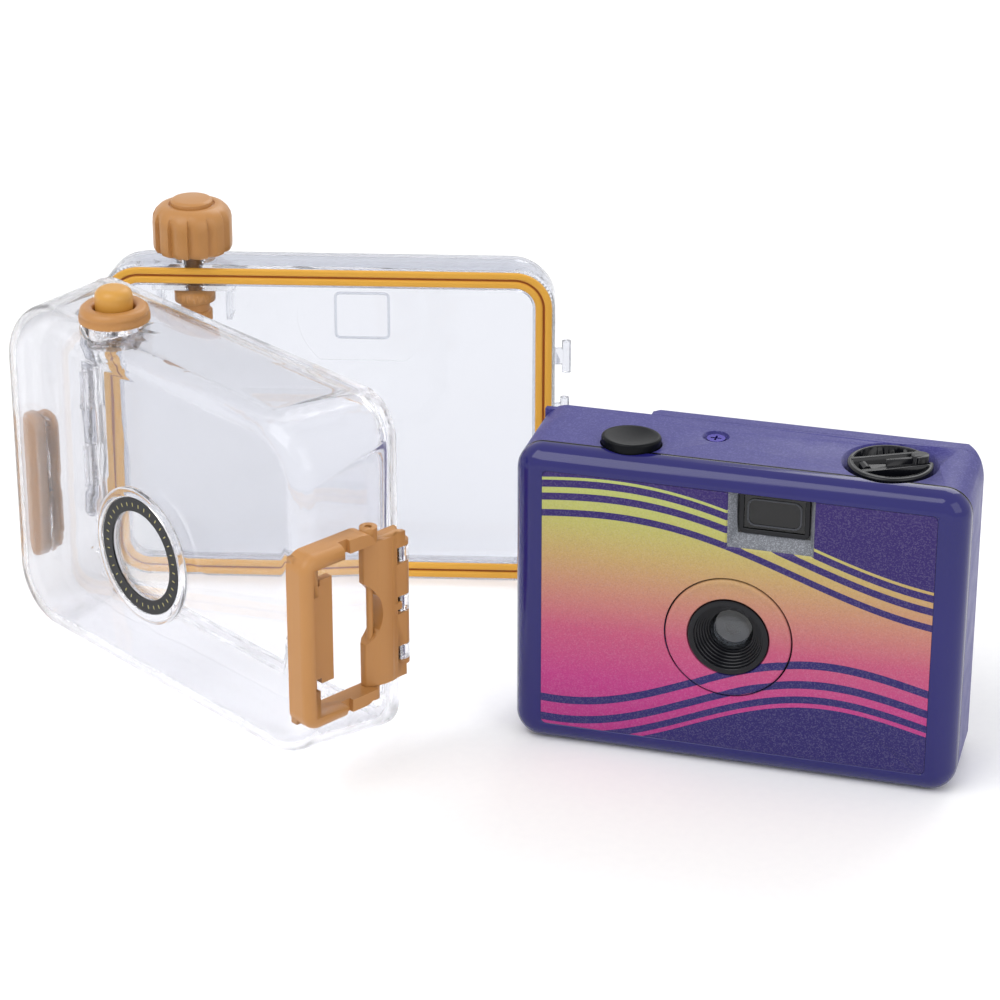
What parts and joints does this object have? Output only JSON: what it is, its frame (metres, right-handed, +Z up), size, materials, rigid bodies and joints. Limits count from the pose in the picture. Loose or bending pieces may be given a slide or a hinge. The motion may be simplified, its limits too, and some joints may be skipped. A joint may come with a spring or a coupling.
{
  "type": "waterproof film camera",
  "caption": "Compact 35 mm film camera standing beside its open, hinged waterproof case with latch, shutter plunger and winding knob.",
  "frame": {"origin": "middle of the film camera's flat base", "axes": "+Z up, the camera looks along -Y, and +X points to the right as seen from its front"},
  "size_m": [0.273, 0.1478, 0.1141],
  "materials": {
    "purple_gloss": "glossy",
    "lavender_matte": "fine speckle",
    "panel_print": "printed",
    "black_plastic": "matte",
    "black_gloss": "glossy",
    "optical_glass": "polished",
    "smoke_glass": "polished",
    "clear_shell": "clear",
    "tan_plastic": "satin",
    "tan_rubber": "matte",
    "steel": "plated",
    "black_rubber": "matte"
  },
  "bodies": {
    "camera": {"front_cover": "purple_gloss", "rear_housing": "lavender_matte", "rear_top_cover": "lavender_matte", "front_panel": "panel_print", "lens_bezel": "panel_print", "lens_barrel": "black_gloss", "front_lens": "optical_glass", "rear_lens": "optical_glass", "shutter_plate": "black_plastic", "blade_pin": "steel", "viewfinder_window": "smoke_glass", "viewfinder_tunnel": "black_plastic", "eyepiece_lens": "optical_glass", "chassis": "black_plastic", "button_spring": "steel", "counter_window": "smoke_glass", "door_hinge_pin": "steel", "top_screw": "steel", "base_screws": "steel"},
    "button": {"shutter_button": "black_gloss"},
    "blade": {"shutter_blade": "steel"},
    "advance": {"thumbwheel": "black_plastic", "takeup_spool": "black_plastic"},
    "sprocket_shaft": {"sprocket": "black_plastic"},
    "counter": {"counter_dial": "black_plastic"},
    "rewind": {"rewind_knob": "black_gloss", "rewind_fork": "black_plastic", "crank_pin": "steel"},
    "crank": {"rewind_crank": "black_gloss"},
    "release": {"rewind_release": "black_plastic"},
    "door": {"rear_door": "lavender_matte", "pressure_plate": "black_plastic", "pressure_spring": "steel"},
    "catch": {"door_latch": "black_plastic"},
    "case_back": {"case_back_shell": "clear_shell", "case_gasket": "tan_rubber", "hinge_pin": "steel", "shaft_seal": "black_rubber"},
    "case_front": {"case_front_shell": "clear_shell", "lens_window": "optical_glass", "window_ring": "black_gloss", "shutter_bezel": "tan_plastic", "strap_clip": "tan_plastic", "lever_pin": "steel", "plunger_spring": "steel"},
    "plunger": {"shutter_plunger": "tan_plastic", "plunger_seal": "black_rubber"},
    "lever": {"latch_lever": "tan_plastic", "loop_pin": "steel"},
    "loop": {"latch_loop": "tan_plastic"},
    "winder": {"winding_knob": "tan_plastic", "winding_shaft": "tan_plastic", "winding_wheel": "tan_plastic"}
  },
  "joints": [
    {"name": "case_lift", "type": "slide", "parent": "camera", "child": "case_back", "axis": [0, 0, 1], "range_m": [0, 0.12]},
    {"name": "case_hinge", "type": "hinge", "parent": "case_back", "child": "case_front", "pos_m": [-0.1992, 0.0456, 0.048], "axis": [0, 0, 1], "range_deg": [-66, 44.2]},
    {"name": "latch_lever", "type": "hinge", "parent": "case_front", "child": "lever", "pos_m": [-0.08501, -0.02561, 0.0418], "axis": [0, 0, 1], "range_deg": [0, 100]},
    {"name": "latch_loop", "type": "hinge", "parent": "lever", "child": "loop", "pos_m": [-0.09033, -0.03455, 0.0418], "axis": [0, 0, 1], "range_deg": [0, 80]},
    {"name": "plunger_press", "type": "slide", "parent": "case_front", "child": "plunger", "axis": [0, 0, -1], "range_m": [0, 0.0022], "stiffness_N_per_m": 300, "springref_m": -0.003, "deforming": ["plunger_spring"]},
    {"name": "winding_knob_turn", "type": "hinge", "parent": "case_back", "child": "winder", "pos_m": [-0.17239, 0.05908, 0.0965], "axis": [0, 0, 1], "continuous": true},
    {"name": "shutter_press", "type": "slide", "parent": "camera", "child": "button", "axis": [0, 0, -1], "range_m": [0, 0.0018], "stiffness_N_per_m": 250, "springref_m": -0.003, "deforming": ["button_spring"]},
    {"name": "blade_swing", "type": "hinge", "parent": "camera", "child": "blade", "pos_m": [-0.0092, -0.007, 0.0415], "axis": [0, 1, 0], "range_deg": [0, 38], "stiffness_Nm_per_rad": 0.002, "springref_deg": -17.19},
    {"name": "advance_turn", "type": "hinge", "parent": "camera", "child": "advance", "pos_m": [-0.0405, 0.003, 0.073], "axis": [0, 0, 1], "continuous": true},
    {"name": "sprocket_turn", "type": "hinge", "parent": "camera", "child": "sprocket_shaft", "pos_m": [-0.0244, 0.0098, 0.03], "axis": [0, 0, 1], "continuous": true},
    {"name": "counter_turn", "type": "hinge", "parent": "camera", "child": "counter", "pos_m": [-0.013, 0.005, 0.003], "axis": [0, 0, 1], "continuous": true},
    {"name": "rewind_turn", "type": "hinge", "parent": "camera", "child": "rewind", "pos_m": [0.0355, 0.0015, 0.0835], "axis": [0, 0, 1], "continuous": true},
    {"name": "crank_fold", "type": "hinge", "parent": "rewind", "child": "crank", "pos_m": [0.02967, -0.0016, 0.08275], "axis": [0.4695, -0.8829, 0], "range_deg": [0, 150]},
    {"name": "release_press", "type": "slide", "parent": "camera", "child": "release", "axis": [0, 0, 1], "range_m": [0, 0.0012], "stiffness_N_per_m": 250, "springref_m": -0.002},
    {"name": "door_swing", "type": "hinge", "parent": "camera", "child": "door", "pos_m": [0.05388, 0.01432, 0.033], "axis": [0, 0, -1], "range_deg": [0, 90]},
    {"name": "catch_slide", "type": "slide", "parent": "camera", "child": "catch", "axis": [0, 0, 1], "range_m": [0, 0.003]}
  ],
  "couplings": [
    {"joint": "counter_turn", "follows": "sprocket_turn", "ratio": -0.026316}
  ]
}
